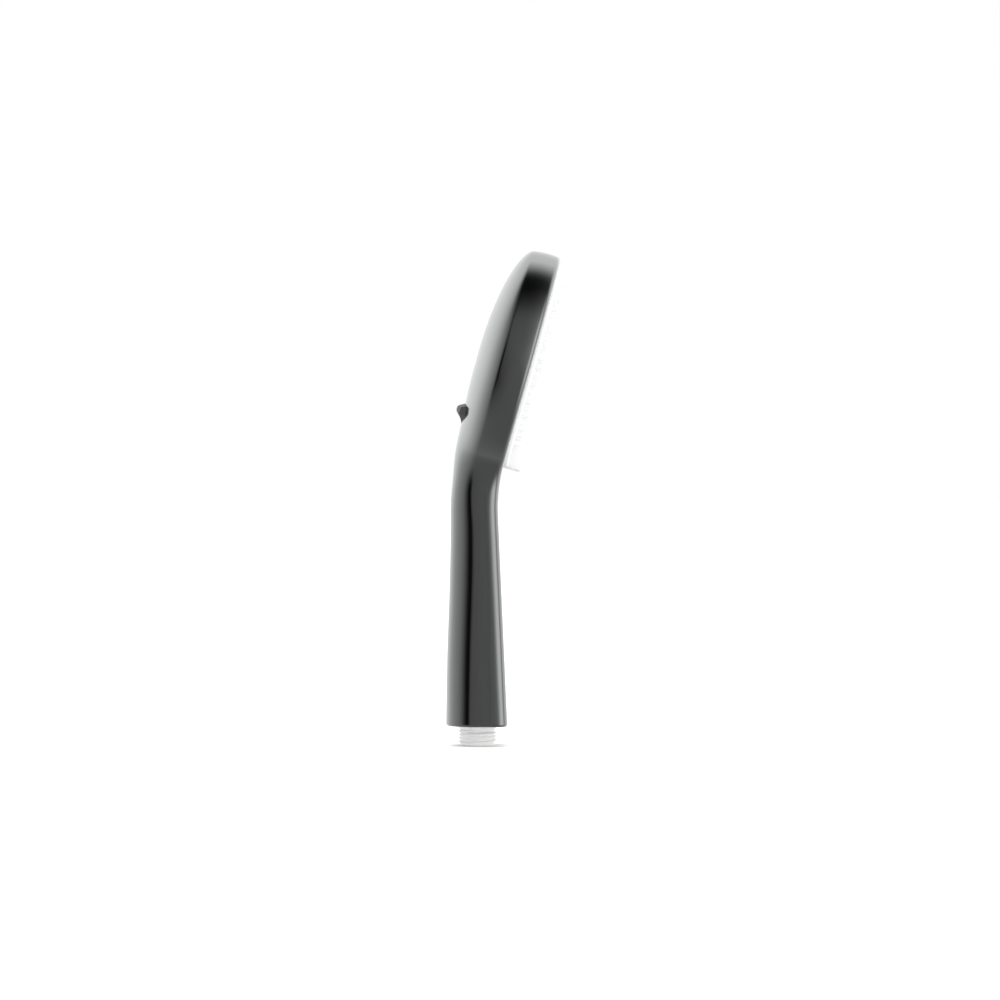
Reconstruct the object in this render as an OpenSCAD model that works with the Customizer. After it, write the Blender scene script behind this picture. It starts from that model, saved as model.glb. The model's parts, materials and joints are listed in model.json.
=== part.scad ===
// Handheld shower head with a thumb selector on its back.
// Millimetres. The origin is the centre of the inlet's end face, +Z runs up
// the handle, and the spray leaves toward -Y and a little down.

/* [Handle] */
// Height of the handle's bottom edge above the inlet's end face
handle_base_z = 10.7; // [10:0.1:14]
// Width of the handle at the bottom
handle_w_base = 38; // [36:0.5:42]
// Width of the handle at the neck
handle_w_neck = 35; // [33:0.5:37]
// Depth of the handle's front face in front of the thread axis, at the bottom
handle_front_base = 16.2; // [15:0.1:18]
// Slope of the handle's front face, mm of depth per mm of height
handle_front_slope = 0.044; // [0.03:0.001:0.06]
// Rounding of the handle's front corners
handle_corner_r = 5.5; // [4:0.5:7]

/* [Head] */
// Outer diameter of the head
head_d = 121.5; // [118:0.5:125]
// Tilt of the spray face from the handle's axis
head_tilt = 15.6; // [14:0.1:17]
// Distance of the spray face's centre in front of the thread axis
head_y = 29; // [28:0.5:30]
// Height of the spray face's centre
head_z = 205; // [203:0.5:207]
// Depth of the head's straight side wall
rim_depth = 15; // [13:0.5:16]
// Rounding of the rim's front edge
rim_edge_r = 2.6; // [1.5:0.1:3.5]
// Radius of the shoulders between head and handle
shoulder_r = 22; // [18:1:26]

/* [Shell] */
// Wall thickness of the shell at the back and in the handle
wall = 2.5; // [2:0.1:3]
// Radius of the recess that takes the spray plate
recess_r = 57.2; // [56.5:0.1:57.5]

/* [Spray face] */
// How far the spray plate stands proud of the rim
plate_proud = 2.2; // [1.5:0.1:3]
// Height of the nozzle tips above the rim
nozzle_tip = 5.8; // [5:0.1:6.5]
// Width of the pull lug at the bottom of the plate
lug_w = 20; // [14:1:26]
// Height of the pull lug above the rim
lug_h = 10; // [8:0.5:11]

/* [Selector] */
// Half width of the thumb tab
tab_half_w = 18.5; // [15:0.5:20]
// Travel of the thumb tab, degrees
tab_travel = 12; // [8:1:12]
// Stroke of the plunger under the tab
plunger_stroke = 2.45; // [2:0.05:2.5]
// Teeth on the index ring
index_teeth = 12; // [12:12:12]

/* [Inlet] */
// Crest radius of the G1/2 hose thread
thread_r = 10.4775; // [10.4775:0.0001:10.4775]
// Root radius of the thread
thread_root_r = 9.3155; // [9.3155:0.0001:9.3155]
// Pitch of the thread
thread_pitch = 1.8143; // [1.8143:0.0001:1.8143]
// Opening travel of the non-return valve
poppet_travel = 2.5; // [1.5:0.1:2.5]

/* [Hidden] */

head_r = head_d / 2;
z_base = handle_base_z;
graphite = [0.25, 0.26, 0.26];
dark = [0.16, 0.17, 0.17];
white = [0.95, 0.95, 0.94];
pale = [0.88, 0.88, 0.86];
steel = [0.72, 0.73, 0.74];
rubber = [0.10, 0.10, 0.11];

// ---- frames -----------------------------------------------------------
// The head frame: its origin is the centre of the rim plane, +Y runs up the
// face, +Z is the way the spray leaves.
module head_frame() translate([0, -head_y, head_z]) rotate([90 + head_tilt, 0, 0]) children();

// ---- the body's outer form --------------------------------------------
// u measures height in the face's own plane; z_of(u) is the height of the
// front line's point, carried on down the handle.
function z_of(u) = head_z + u * cos(head_tilt);
u_of_base = (z_base - head_z) / cos(head_tilt);
function clamp01(t) = max(0, min(1, t));
function smooth(t) = let (c = clamp01(t)) c * c * (3 - 2 * c);
function line_handle(z) = -handle_front_base + handle_front_slope * (z - z_base);
function line_head(z) = -head_y - (z - head_z) * tan(head_tilt);
// The front line: handle, a concave bend of constant curvature, head.
bend_half = 14;
bend_z = (line_handle(0) + head_y - head_z * tan(head_tilt)) / (-tan(head_tilt) - handle_front_slope);
function front_y(z) =
    z < bend_z - bend_half ? line_handle(z) :
    z > bend_z + bend_half ? line_head(z) :
    let (t = (z - bend_z + bend_half) / (2 * bend_half))
    line_handle(z) - (handle_front_slope + tan(head_tilt)) * bend_half * t * t;
// The way that depth is measured: straight back in the handle, square to the
// face in the head.
function lean(z) = head_tilt * smooth((z - bend_z + 22) / 44);
// Total thickness along the middle, through a few stations.
thick_u = [-205, -165, -120, -85, -70, -50, -15, 20, 80];
thick_t = [33.4, 31.1, 27.8, 25.8, 25.4, 27.6, 29.4, 29.4, 29.4];
function seg(u, i = 0) = (i >= len(thick_u) - 2 || u < thick_u[i + 1]) ? i : seg(u, i + 1);
function slope_at(i) = (i <= 0 || i >= len(thick_u) - 1) ? 0 :
    let (a = (thick_t[i] - thick_t[i - 1]) / (thick_u[i] - thick_u[i - 1]),
         b = (thick_t[i + 1] - thick_t[i]) / (thick_u[i + 1] - thick_u[i]))
    (a * b <= 0) ? 0 : 2 * a * b / (a + b);
function end_slope(i) = i == 0 ? (thick_t[1] - thick_t[0]) / (thick_u[1] - thick_u[0]) : slope_at(i);
function thick(u) = let (i = seg(u), w = thick_u[i + 1] - thick_u[i], t = clamp01((u - thick_u[i]) / w),
    m0 = end_slope(i) * w, m1 = slope_at(i + 1) * w)
    (2 * t * t * t - 3 * t * t + 1) * thick_t[i] + (t * t * t - 2 * t * t + t) * m0
    + (3 * t * t - 2 * t * t * t) * thick_t[i + 1] + (t * t * t - t * t) * m1;

// The outline seen from the front: a circle, two shoulders, the handle.
// g = [circle radius, shoulder radius, half width at neck, half width at base]
function sh_x(g) = g[2] + g[1];
function sh_u(g) = -sqrt(pow(g[0] + g[1], 2) - pow(sh_x(g), 2));
function sh_a(g) = atan2(sh_u(g), sh_x(g));
function half_w(g, u) = g[2] + (g[3] - g[2]) * pow(clamp01((sh_u(g) - u) / (sh_u(g) - u_of_base)), 1.5);
// Outline stations of the right-hand side, each [x, u, spine u].
n_top = 12; n_low = 8; n_sh = 5;
function spine_u(g, l) = let (len = (g[0] + g[1]) * -sh_a(g) * PI / 180) sh_u(g) * pow(clamp01(l / len), len / -sh_u(g));
function outline(g, stations) = concat(
    [for (i = [0:n_top]) let (a = 90 - 90 * i / n_top) [i == 0 ? 0 : g[0] * cos(a), g[0] * sin(a), 0]],
    [for (i = [1:n_low]) let (a = sh_a(g) * i / n_low) [g[0] * cos(a), g[0] * sin(a), spine_u(g, g[0] * -a * PI / 180)]],
    [for (i = [1:n_sh]) let (b = -sh_a(g) * (1 - i / n_sh))
        [sh_x(g) - g[1] * cos(b), sh_u(g) + g[1] * sin(b), spine_u(g, (g[0] * -sh_a(g) + g[1] * (-sh_a(g) - b)) * PI / 180)]],
    [for (u = stations) [half_w(g, u), u, u]]);

// One ray of the surface, from the front spine to the back spine.
// f = [front inset, back inset, wall depth, front edge radius at the top,
//      the same in the handle, end rounding]
n_front = 3; n_edge = 4; n_wall = 3; n_back = 10;
// f[6] is 1 for the crowned outer wall and 0 for the plain inner one.
rim_u = [-205, -176, -154, -131, -109, -86, -64, -50, 80];
rim_d = [20, 18.3, 16.9, 15.1, 13.6, 12.9, 14.6, 15, 15];
function rim_at(u) = let (s = 5) (lookup(u - 2 * s, rim_list) + 2 * lookup(u - s, rim_list) + 3 * lookup(u, rim_list) + 2 * lookup(u + s, rim_list) + lookup(u + 2 * s, rim_list)) / 9;
rim_list = [for (i = [0:len(rim_u) - 1]) [rim_u[i], rim_d[i] + rim_depth - 15]];
head_crown = 0.17;
handle_crown = 0.09;
function edge_r(f, u) = f[3] + (f[4] - f[3]) * smooth((0 - u) / 90);
// Each point is [fraction of the ray, depth]
function ray_pts(f, len, u) = let (
    R = f[6] == 0 ? f[2] : rim_at(u), h = thick(u) - f[1] - R, r = min(edge_r(f, u), len * 0.8),
    e = f[6] * (head_crown + (handle_crown - head_crown) * smooth((-u - 30) / 60)),
    d0 = 0.49 * R, c = e / (2 * (R - d0)), turn = 90 - atan(max(0, 2 * c * (d0 - r))),
    da = r * (1 - cos(turn)), xc = len - c * pow(da - d0, 2) - r * sin(turn), ds = f[0] + da,
    n = 1.1 + 0.1 * smooth((-u - 50) / 40), xe = len - c * pow(R - d0, 2),
    b0 = e > 0 ? pow(e * h * n / xe, 1 / (2 - n)) * 180 / PI : 0, low = pow(sin(b0), n))
    concat(
        [for (i = [0:n_front - 1]) [xc * i / n_front / len, f[0]]],
        [for (i = [0:n_edge]) let (a = turn * i / n_edge) [(xc + r * sin(a)) / len, f[0] + r * (1 - cos(a))]],
        [for (i = [1:n_wall - 1]) let (d = ds + (R - ds) * i / n_wall) [(len - c * pow(d - d0, 2)) / len, d]],
        [for (i = [0:n_back]) let (b = b0 + (90 - b0) * pow(i / n_back, 1.15))
            [i == n_back ? 0 : xe * cos(b) / cos(b0) / len, R + h * (pow(sin(b), n) - low) / (1 - low)]]);
n_ray = n_front + n_edge + 1 + n_wall - 1 + n_back + 1;
// End rounding of the handle: how much the section draws in near the bottom.
function draw_in(f, u) = let (e = f[5], h = (u - u_of_base) * cos(head_tilt))
    e > 0 && h < e ? e - sqrt(max(0, e * e - (e - h) * (e - h))) : 0;
function at(x, u, d) = let (z = z_of(u), a = lean(z)) [x, front_y(z) + d * cos(a), z + d * sin(a)];
function column(g, f, s, side) = let (px = s[0], pu = s[1], su = s[2], L = norm([px, pu - su]), k = draw_in(f, pu),
    pts = ray_pts(f, L, (pu + su) / 2))
    [for (p = pts) let (x = px * p[0], u = su + (pu - su) * p[0],
        um = su, Tm = thick(um) - f[1], h = Tm - f[2], i = p,
        d = p[1]) at(side * x * (1 - k / max(px, 1)), u, k > 0 ? k + d * (1 - 2 * k / thick(pu)) : d)];

// Points: all columns of the left side, then the right, top columns shared.
module body_form(g, f, stations) {
    o = outline(g, stations);
    n = len(o);
    cols = concat([for (i = [n - 1:-1:1]) column(g, f, o[i], -1)], [for (i = [0:n - 1]) column(g, f, o[i], 1)]);
    nc = 2 * n - 1;
    // Spine points are shared between the two sides and by the head's fan.
    sp = [for (i = [0:n - 1]) o[i][2]];
    function skey(c) = let (i = abs(c - (n - 1))) i <= n_top ? 0 : i - n_top;
    ns = n - n_top;
    inner_pts = [for (c = cols) for (j = [1:n_ray - 2]) c[j]];
    front_sp = [for (k = [0:ns - 1]) cols[n - 1 + (k == 0 ? 0 : n_top + k)][0]];
    back_sp = [for (k = [0:ns - 1]) cols[n - 1 + (k == 0 ? 0 : n_top + k)][n_ray - 1]];
    m = n_ray - 2;
    base_f = nc * m;
    base_b = base_f + ns;
    function id(c, j) = j == 0 ? base_f + skey(c) : j == n_ray - 1 ? base_b + skey(c) : c * m + j - 1;
    quads = [for (c = [0:nc - 2]) for (j = [0:n_ray - 2])
        let (a = id(c, j), b = id(c + 1, j), cc = id(c + 1, j + 1), d = id(c, j + 1))
        each concat((a == b || b == cc || a == cc) ? [] : [[a, cc, b]], (a == cc || cc == d || a == d) ? [] : [[a, d, cc]])];
    // The end is closed by a fan round a point in its middle
    loop = concat([for (j = [0:n_ray - 1]) id(nc - 1, j)], [for (j = [n_ray - 2:-1:1]) id(0, j)]);
    mid = (front_sp[ns - 1] + back_sp[ns - 1]) / 2;
    hub = base_b + ns;
    cap = [for (i = [0:len(loop) - 1]) [loop[i], loop[(i + 1) % len(loop)], hub]];
    polyhedron(points = concat(inner_pts, front_sp, back_sp, [mid]), faces = concat(quads, cap), convexity = 8);
}

outer_stations = [-80, -100, -130, -165, u_of_base + 3, u_of_base + 1.5, u_of_base + 0.75, u_of_base + 0.3, u_of_base];
inner_stations = [-80, -120, -160, u_of_base + 3.8 / cos(head_tilt)];
outer_g = [head_r, shoulder_r, handle_w_neck / 2, handle_w_base / 2];
inner_g = [recess_r - 0.7, shoulder_r + wall, handle_w_neck / 2 - wall, handle_w_base / 2 - wall];
outer_f = [0, 0, rim_depth, rim_edge_r, handle_corner_r, 1.6, 1];
inner_f = [wall, wall, rim_depth, 2.5, 3, 0, 0];

// ---- the body's shell -------------------------------------------------
boss_r = 51.6;
boss_angles = [45, 135, 225, 315];
module polar(list, r) for (a = list) rotate([0, 0, a]) translate([r, 0, 0]) children();

// Space swept by the thumb tab, grown by g: the opening in the shell.
module tab_outline(g) intersection() {
    translate([0, hinge_u, hinge_z]) rotate([0, 90, 0])
        rotate_extrude($fn = 96) polygon(concat([[0, -tab_half_w - g]],
            [for (i = [-8:8]) let (x = i / 8 * (tab_half_w + g)) [tab_r + g - x * x / 190, x]],
            [[0, tab_half_w + g]]));
    translate([0, tab_low_c, -36]) cylinder(r = tab_low_r + g, h = 16, $fn = 128);
    translate([-25, -50, -36]) cube([50, 30, 12.5]);
}

module body_shell() color(graphite) {
    difference() {
        union() {
            difference() {
                body_form(outer_g, outer_f, outer_stations);
                body_form(inner_g, inner_f, inner_stations);
            }
            // Bosses for the face screws, with ends that run into the wall
            head_frame() polar(boss_angles, 0) rotate([0, 0, -4.2])
                rotate_extrude(angle = 8.4, $fn = 96)
                    polygon([[47.6, -7.3], [55.4, -7.3], [55.4, -18.7], [47.6, -21.7]]);
        }
        head_frame() {
            translate([0, 0, -7.2]) cylinder(r = recess_r, h = 12, $fn = 128);
            polar(boss_angles, boss_r) translate([0, 0, -16]) cylinder(r = 1.45, h = 10, $fn = 24);
            tab_outline(0.45);
            // Room for the tab's ears and their cheeks
            translate([-12.8, hinge_u, hinge_z]) rotate([0, 90, 0]) cylinder(r = 2.25, h = 25.6, $fn = 48);
        }
        translate([0, 0, z_base - 1]) cylinder(r = 10.7, h = 7, $fn = 64);
    }
}

// ---- spray face -------------------------------------------------------
ring_r = [9, 17, 24.5, 32, 39.5, 46.5];
ring_n = [6, 12, 16, 20, 24, 30];
ring_a = [0, 15, 0, 0, 0, 0];
nozzles = [for (k = [0:len(ring_r) - 1]) for (i = [0:ring_n[k] - 1])
    let (a = ring_a[k] + 90 + 360 * i / ring_n[k], x = ring_r[k] * cos(a), y = ring_r[k] * sin(a))
    if (!(abs(x) < lug_w / 2 + 2.3 && y < -40.5)) [x, y]];
plate_r = recess_r - 0.3;

module spray_plate() color(white) head_frame() difference() {
    union() {
        rotate_extrude($fn = 128) polygon(concat([[0, -0.2], [plate_r - 1.9, -0.2], [plate_r - 1.9, -6.2], [plate_r, -6.2]],
            [for (i = [0:6]) [plate_r - 1 + cos(i * 15), plate_proud - 1 + sin(i * 15)]], [[0, plate_proud]]));
        // Pull lug: its outer wall carries on the plate's own edge
        intersection() {
            cylinder(r = plate_r, h = 20, $fn = 128);
            translate([-lug_w / 2, 0, 0]) rotate([90, 0, 90]) linear_extrude(lug_w)
                polygon([[-62, 1], [-43.3, 1], [-43.3, plate_proud], [-47.2, lug_h - 0.1], [-48, lug_h + 0.4],
                    [-55.9, lug_h - 0.5], [-57.5, lug_h - 1.2], [-62, lug_h - 1.3]]);
        }
    }
    for (p = nozzles) translate([p[0], p[1], -1]) cylinder(r = 1.95, h = 5, $fn = 24);
}

module nozzle_mat() color(pale) head_frame() difference() {
    union() {
        translate([0, 0, -1.7]) cylinder(r = 48.7, h = 1.5, $fn = 96);
        for (p = nozzles) translate([p[0], p[1], -0.9]) rotate_extrude($fn = 24)
            polygon([[0, 0], [1.75, 0], [1.75, 3.1], [1.02, nozzle_tip + 0.8], [0.9, nozzle_tip + 0.9], [0, nozzle_tip + 0.9]]);
    }
    for (p = nozzles) translate([p[0], p[1], -2]) cylinder(r = 0.5, h = nozzle_tip + 3, $fn = 16);
}

// ---- distributor and its selector -------------------------------------
sel_u = -31;
port_r = 6.2;
port_hole = 1.4;
ports = [for (k = [0:2]) [port_r * cos(-90 + 120 * k), sel_u + port_r * sin(-90 + 120 * k)]];
housing_screw_at = [[0, sel_u + 14.3], [13.4, sel_u - 4.9], [-13.4, sel_u - 4.9]];

module slot2d(a, b, r) {
    d = b - a;
    translate(a) circle(r = r, $fn = 32);
    translate(b) circle(r = r, $fn = 32);
    translate(a) rotate([0, 0, atan2(d[1], d[0])]) translate([0, -r]) square([norm(d), 2 * r]);
}
module ring2d(a, b) difference() { circle(r = b, $fn = 96); circle(r = a, $fn = 96); }

module distributor() color(white) head_frame() difference() {
    translate([0, 0, -7]) cylinder(r = 54.8, h = 5.3, $fn = 128);
    // Outer, middle and inner chambers, each fed by one port
    translate([0, 0, -4.3]) linear_extrude(4) difference() {
        ring2d(35.6, 48);
        for (p = housing_screw_at) translate(p) circle(r = 2.6, $fn = 32);
    }
    translate([0, 0, -4.3]) linear_extrude(4) difference() {
        ring2d(21.5, 34.2);
        slot2d(ports[2], [-4, -15], 3.6);
        for (p = housing_screw_at) translate(p) circle(r = 2.6, $fn = 32);
    }
    translate([0, 0, -4.3]) linear_extrude(4) difference() {
        union() { circle(r = 20, $fn = 96); slot2d(ports[2], [-4, -15], 2.2); }
        for (p = housing_screw_at) translate(p) circle(r = 2.6, $fn = 32);
    }
    for (p = ports) translate([p[0], p[1], -8]) { cylinder(r = port_hole, h = 6, $fn = 32); cylinder(r = 2.9, h = 1.9, $fn = 32); }
    translate([0, sel_u, -8]) cylinder(r = 1.5, h = 3, $fn = 32);
    for (p = housing_screw_at) translate([p[0], p[1], -8]) cylinder(r = 1.1, h = 5.4, $fn = 24);
    polar(boss_angles, boss_r) { translate([0, 0, -8]) cylinder(r = 1.7, h = 8, $fn = 24); translate([0, 0, -3.6]) cylinder(r = 3, h = 4, $fn = 32); }
}

module torus(r, s, sides = 24) rotate_extrude($fn = 64) translate([r, 0]) circle(r = s, $fn = sides);

module port_seals() color(rubber) head_frame()
    for (p = ports) translate([p[0], p[1], -6.86]) torus(2.12, 0.76);

module cam_teeth(dir) for (i = [0:index_teeth - 1]) rotate([0, 0, 360 * i / index_teeth])
    translate([2.7, 0, 0]) rotate([90, 0, 90]) linear_extrude(1.6) polygon([[-0.62, -0.05 * dir], [0.62, -0.05 * dir], [0, dir]]);

module selector_rotor() color(pale) head_frame() translate([0, sel_u, 0]) difference() {
    union() {
        translate([0, 0, -10.2]) cylinder(r = 8.8, h = 2.5, $fn = 64);
        translate([0, 0, -11.2]) cylinder(r = 4.4, h = 1.2, $fn = 48);
        translate([0, 0, -11.2]) cam_teeth(-1);
    }
    for (k = [0:3]) rotate([0, 0, -90 + 90 * k]) translate([port_r, 0, -12]) cylinder(r = port_hole, h = 6, $fn = 32);
    translate([0, 0, -14]) cylinder(r = 1.55, h = 8, $fn = 32);
}

module rotor_axle() color(steel) head_frame() translate([0, sel_u, -17]) cylinder(r = 1.5, h = 12, $fn = 32);

module plunger() color(pale) head_frame() translate([0, sel_u, 0]) difference() {
    union() {
        translate([0, 0, -22.2]) sphere(r = 2.5, $fn = 32);
        translate([0, 0, -22.2]) cylinder(r = 2.5, h = 5.6, $fn = 32);
        translate([0, 0, -17.6]) cylinder(r = 9, h = 1.4, $fn = 64);
        translate([0, 0, -16.6]) cylinder(r = 4.4, h = 1.55, $fn = 48);
        translate([0, 0, -15.05]) rotate([0, 0, 180 / index_teeth]) cam_teeth(1);
    }
    for (k = [0:5]) rotate([0, 0, 60 * k]) translate([6.6, 0, -18]) cylinder(r = 1.5, h = 3, $fn = 24);
    translate([0, 0, -20]) cylinder(r = 1.58, h = 8, $fn = 32);
}

// A helical spring: [mean radius, wire radius, height, turns]
module coil(r, w, h, turns, sides = 6, steps = 14) {
    n = turns * steps;
    rings = [for (i = [0:n]) let (a = 360 * i / steps, z = w + (h - 2 * w) * i / n)
        [for (k = [0:sides - 1]) let (b = 360 * k / sides) [(r + w * cos(b)) * cos(a), (r + w * cos(b)) * sin(a), z + w * sin(b)]]];
    polyhedron(points = [for (q = rings) each q], faces = concat(
        [for (i = [0:n - 1]) for (k = [0:sides - 1]) let (a = i * sides + k, b = i * sides + (k + 1) % sides)
            each [[a, a + sides, b], [b, a + sides, b + sides]]],
        [[for (k = [0:sides - 1]) k]], [[for (k = [sides - 1:-1:0]) n * sides + k]]), convexity = 6);
}

module plunger_spring() color(steel) head_frame() translate([0, sel_u, -13.6]) coil(8.2, 0.35, 3.3, 3);

module plunger_seal() color(rubber) head_frame() translate([0, sel_u, -20.08]) torus(3.28, 0.66);
module seal_retainer() color(pale) head_frame() translate([0, sel_u, -21.3]) difference() {
    cylinder(r = 4.2, h = 0.5, $fn = 48);
    translate([0, 0, -1]) cylinder(r = 2.8, h = 3, $fn = 48);
}

guide_z = -14.7;
module diverter_housing() color(white) head_frame() difference() {
    union() {
        translate([0, sel_u, -20.8]) cylinder(r = 12.2, h = 13.8, $fn = 64);
        translate([0, sel_u, -9.6]) cylinder(r = 16.6, h = 2.6, $fn = 96);
        translate([0, sel_u, -21.3]) cylinder(r = 5.4, h = 2, $fn = 48);
        translate([0, -50.8, guide_z]) rotate([-90, 0, 0]) cylinder(r = 7.3, h = 12, $fn = 64);
        // Cheeks that carry the tab's hinge pin
        for (x = [-12.3, 9.3]) translate([x, 0, 0]) rotate([90, 0, 90]) linear_extrude(3)
            union() {
                polygon([[-44.35, -23.3], [-40.65, -23.3], [-37, -22.9], [-31, -21.5], [-31, -14], [-38, -14], [-44.35, -20.6]]);
                translate([hinge_u, hinge_z]) circle(r = 1.85, $fn = 48);
            }
    }
    translate([0, sel_u, -18.2]) cylinder(r = 9.5, h = 14, $fn = 64);
    translate([0, sel_u, -8.6]) difference() { cylinder(r = 11.9, h = 3, $fn = 64); cylinder(r = 10.2, h = 3, $fn = 64); }
    translate([0, sel_u, -24]) cylinder(r = 2.6, h = 8, $fn = 32);
    translate([0, sel_u, -22]) cylinder(r = 4.25, h = 2.6, $fn = 48);
    translate([0, -51.8, guide_z]) rotate([-90, 0, 0]) { cylinder(r = 5.06, h = 7.3, $fn = 48); cylinder(r = 3.4, h = 16, $fn = 48); }
    translate([-13, hinge_u, hinge_z]) rotate([0, 90, 0]) cylinder(r = 1, h = 26, $fn = 32);
    for (p = housing_screw_at) translate([p[0], p[1], -10]) cylinder(r = 1.4, h = 4, $fn = 24);
    for (p = housing_screw_at) translate([p[0], p[1], -13]) cylinder(r = 2.5, h = 3.4, $fn = 32);
}

module housing_gasket() color(rubber) head_frame() translate([0, sel_u, -7.8]) torus(11.05, 0.8);

// A pan-head screw, tip up, head underside at z = 0
module screw(head_r, head_h, shank_r, len) {
    translate([0, 0, -0.01]) cylinder(r = shank_r, h = len, $fn = 24);
    difference() {
        translate([0, 0, -head_h]) cylinder(r = head_r, h = head_h, $fn = 32);
        for (a = [0, 90]) rotate([0, 0, a]) translate([-head_r * 0.6, -0.3, -head_h - 0.1]) cube([head_r * 1.2, 0.6, head_h * 0.55 + 0.1]);
    }
}
module housing_screws() color(steel) head_frame()
    for (p = housing_screw_at) translate([p[0], p[1], -9.6]) screw(2.3, 1.5, 1.1, 6.8);
module face_screws() color(steel) head_frame()
    polar(boss_angles, boss_r) translate([0, 0, -3.6]) rotate([180, 0, 0]) screw(2.7, 1.7, 1.45, 11.5);

// ---- thumb tab --------------------------------------------------------
hinge_u = -42.5;
hinge_z = -23.3;
tab_r = 14.4;
tab_low_r = 37.4;
tab_low_c = -2.9;
tab_profile = [[-27, -24.95], [-27, -32], [-31, -32], [-31.6, -32.4], [-32.6, -32.6], [-33.6, -32.5], [-34.4, -32.15],
    [-35.1, -31.55], [-35.9, -30.7], [-36.8, -29.85], [-37.9, -29], [-39, -28.4], [-41, -27.8], [-41, -26], [-33.2, -26], [-33.2, -24.95]];

module selector_tab() color(dark) head_frame() difference() {
    union() {
        intersection() {
            tab_outline(0);
            translate([-30, 0, 0]) rotate([90, 0, 90]) linear_extrude(60) polygon(tab_profile);
            translate([0, -60, 45.4]) rotate([-90, 0, 0]) cylinder(r = 78, h = 60, $fn = 256);
            union() {
                translate([-30, -50, -40]) cube([60, 30, 14]);
                translate([-3.5, -50, -30]) cube([7, 30, 10]);
            }
        }
        // Ears on the hinge pin
        for (x = [-9, 6]) translate([x, 0, 0]) rotate([90, 0, 90]) linear_extrude(3) union() {
            polygon([[-42.5, -25], [-39.2, -25], [-39, -26.8], [-35, -26.8], [-35, -25], [-42.5, -21.6]]);
            translate([hinge_u, hinge_z]) circle(r = 1.8, $fn = 32);
        }
    }
    translate([-13, hinge_u, hinge_z]) rotate([0, 90, 0]) cylinder(r = 1.05, h = 26, $fn = 32);
}

module tab_hinge_pin() color(steel) head_frame()
    translate([-12.2, hinge_u, hinge_z]) rotate([0, 90, 0]) cylinder(r = 1, h = 24.4, $fn = 32);

// A torsion spring's wire: a straight leg, the coil, a second straight leg
module torsion_spring(r, w, pitch, turn, leg_a, leg_b, sides = 6, steps = 12) {
    n = ceil(turn * steps / 360);
    coil_rings = [for (i = [0:n]) let (a = turn * i / n, z = pitch * turn / 360 * i / n)
        [for (k = [0:sides - 1]) let (b = 360 * k / sides) [(r + w * cos(b)) * cos(a), (r + w * cos(b)) * sin(a), z + w * sin(b)]]];
    first = [for (p = coil_rings[0]) p + [0, -leg_a, 0]];
    last = [for (p = coil_rings[n]) p + leg_b * [-sin(turn), cos(turn), 0]];
    rings = concat([first], coil_rings, [last]);
    m = len(rings) - 1;
    polyhedron(points = [for (q = rings) each q], faces = concat(
        [for (i = [0:m - 1]) for (k = [0:sides - 1]) let (a = i * sides + k, b = i * sides + (k + 1) % sides)
            each [[a, a + sides, b], [b, a + sides, b + sides]]],
        [[for (k = [0:sides - 1]) k]], [[for (k = [sides - 1:-1:0]) m * sides + k]]), convexity = 6);
}
module tab_spring() color(steel) head_frame() translate([5.4, hinge_u, hinge_z]) rotate([0, -90, 0]) mirror([0, 1, 0])
    torsion_spring(1.5, 0.3, 0.62, 1080 + 180 + tab_travel, 4, 6);

// ---- waterway in the handle -------------------------------------------
bend_r = 20;
guide_d = -guide_z;
corner_u = (guide_d * cos(head_tilt) - head_y) / sin(head_tilt);
corner_z = head_z + corner_u * cos(head_tilt) + guide_d * sin(head_tilt);
bend_t = bend_r * tan(head_tilt / 2);

module guide_run(r, z0) {
    translate([0, 0, z0]) cylinder(r = r, h = corner_z - bend_t - z0, $fn = 48);
    translate([0, -bend_r, corner_z - bend_t]) rotate([90, 0, 90])
        rotate_extrude(angle = head_tilt, $fn = 96) translate([bend_r, 0]) circle(r = r, $fn = 48);
}
module water_guide() color(white) difference() {
    union() {
        translate([0, 0, 18.3]) cylinder(r = 11.4, h = 11.2, $fn = 64);
        translate([0, 0, 29.5]) cylinder(r1 = 11.4, r2 = 7, h = 5, $fn = 64);
        guide_run(7, 34);
        head_frame() translate([0, corner_u + bend_t, guide_z]) rotate([-90, 0, 0]) {
            translate([0, 0, -0.5]) cylinder(r = 6.5, h = 1.8, $fn = 48);
            cylinder(r = 5, h = 7.2, $fn = 48);
        }
    }
    translate([0, 0, 17]) cylinder(r = 9.06, h = 11.5, $fn = 64);
    translate([0, 0, 27]) cylinder(r = 5.5, h = 8, $fn = 48);
    guide_run(5.5, 34);
    head_frame() translate([0, corner_u + bend_t - 0.5, guide_z]) rotate([-90, 0, 0]) {
        cylinder(r = 3.5, h = 12, $fn = 48);
        translate([0, 0, 3.5]) difference() { cylinder(r = 6, h = 2, $fn = 48); translate([0, 0, -1]) cylinder(r = 4.2, h = 4, $fn = 48); }
    }
}
module guide_upper_seal() color(rubber) head_frame()
    translate([0, corner_u + bend_t + 4, guide_z]) rotate([-90, 0, 0]) torus(4.62, 0.42);
module guide_lower_seal() color(rubber) translate([0, 0, 22.2]) torus(8.53, 0.53);

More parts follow.
